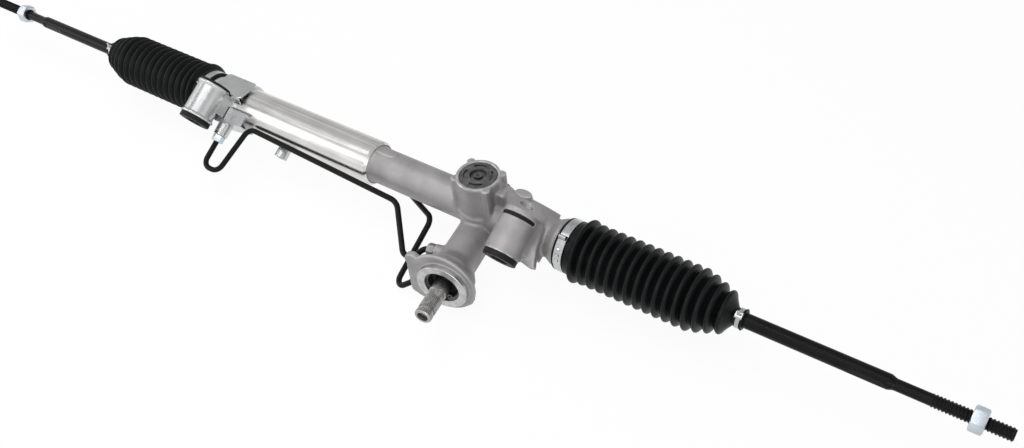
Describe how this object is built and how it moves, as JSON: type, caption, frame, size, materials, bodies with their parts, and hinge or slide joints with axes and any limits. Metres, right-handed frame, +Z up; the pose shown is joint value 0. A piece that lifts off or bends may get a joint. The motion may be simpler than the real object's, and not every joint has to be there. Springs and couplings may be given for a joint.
{
  "type": "steering rack",
  "caption": "Hydraulic rack and pinion steering gear with power cylinder, valve tower, feed pipes, bellows, tie rods and rubber bushed mounts.",
  "frame": {"origin": "middle of the bolt bore in the right mount bush, the one in the casting", "axes": "+X along the rack towards the end with the mount boss, +Z up along the yoke tower, the input shaft points towards -Y"},
  "size_m": [1.302, 0.1821, 0.1097],
  "materials": {
    "cast_alloy": "sand cast, matte",
    "tube_steel": "drawn, satin",
    "zinc_steel": "bright zinc plated",
    "machined_steel": "machined and ground",
    "turned_alloy": "turned",
    "black_steel": "satin black coating",
    "soft_rubber": "moulded, matte",
    "bearing_plastic": "moulded, matte"
  },
  "bodies": {
    "housing": {"rack_housing": "cast_alloy", "cylinder_tube": "tube_steel", "bulkhead": "turned_alloy", "bulkhead_o_ring": "soft_rubber", "snap_ring": "zinc_steel", "left_rack_seal": "soft_rubber", "right_rack_seal": "soft_rubber", "rack_guide_bush": "bearing_plastic", "end_port_block": "machined_steel", "tube_stud": "machined_steel", "mount_bracket": "zinc_steel", "right_mount_bush": "soft_rubber", "right_bush_sleeve": "zinc_steel", "left_mount_bush": "soft_rubber", "left_bush_sleeve": "zinc_steel", "rack_yoke": "turned_alloy", "yoke_liner": "bearing_plastic", "yoke_spring": "machined_steel", "yoke_plug": "machined_steel", "lower_bearing_outer": "machined_steel", "lower_cap": "machined_steel", "upper_bearing": "machined_steel", "input_seal": "soft_rubber", "retaining_ring": "zinc_steel", "long_feed_pipe": "black_steel", "short_feed_pipe": "black_steel", "pipe_unions": "zinc_steel", "right_bellows": "soft_rubber", "left_bellows": "soft_rubber", "right_large_clamp": "zinc_steel", "left_large_clamp": "zinc_steel"},
    "rack": {"rack_bar": "machined_steel", "piston": "turned_alloy", "piston_ring": "bearing_plastic", "right_ball_housing": "machined_steel", "left_ball_housing": "machined_steel"},
    "pinion": {"pinion_shaft": "machined_steel", "valve_sleeve": "machined_steel", "sleeve_rings": "bearing_plastic", "lower_bearing_inner": "machined_steel", "pinion_nut": "machined_steel"},
    "input": {"input_shaft": "machined_steel", "torsion_bar": "machined_steel", "cross_pin": "machined_steel"},
    "right_seat": {"right_ball_seat": "bearing_plastic"},
    "right_rod": {"right_tie_rod": "black_steel", "right_jam_nut": "zinc_steel", "right_small_clamp": "zinc_steel"},
    "left_seat": {"left_ball_seat": "bearing_plastic"},
    "left_rod": {"left_tie_rod": "black_steel", "left_jam_nut": "zinc_steel", "left_small_clamp": "zinc_steel"}
  },
  "joints": [
    {"name": "rack_slide", "type": "slide", "parent": "housing", "child": "rack", "axis": [1, 0, 0], "range_m": [-0.07, 0.07], "deforming": ["right_bellows", "left_bellows"]},
    {"name": "pinion_spin", "type": "hinge", "parent": "housing", "child": "pinion", "pos_m": [-0.059, 0.03362, -0.03913], "axis": [0.165, -0.9863, 0], "range_deg": [-462, 462]},
    {"name": "input_twist", "type": "hinge", "parent": "pinion", "child": "input", "pos_m": [-0.0458, -0.04528, -0.03913], "axis": [0.165, -0.9863, 0], "range_deg": [-4.5, 4.5], "stiffness_Nm_per_rad": 75},
    {"name": "right_rod_yaw", "type": "hinge", "parent": "rack", "child": "right_seat", "pos_m": [0.1545, 0.03362, -0.02063], "axis": [0, 0, 1], "range_deg": [-20, 20]},
    {"name": "right_rod_swing", "type": "hinge", "parent": "right_seat", "child": "right_rod", "pos_m": [0.1545, 0.03362, -0.02063], "axis": [0, 1, 0], "range_deg": [-20, 20]},
    {"name": "left_rod_yaw", "type": "hinge", "parent": "rack", "child": "left_seat", "pos_m": [-0.5475, 0.03362, -0.02063], "axis": [0, 0, 1], "range_deg": [-20, 20]},
    {"name": "left_rod_swing", "type": "hinge", "parent": "left_seat", "child": "left_rod", "pos_m": [-0.5475, 0.03362, -0.02063], "axis": [0, 1, 0], "range_deg": [-20, 20]}
  ],
  "couplings": [
    {"joint": "pinion_spin", "follows": "rack_slide", "rad_per_m": -114.72}
  ]
}
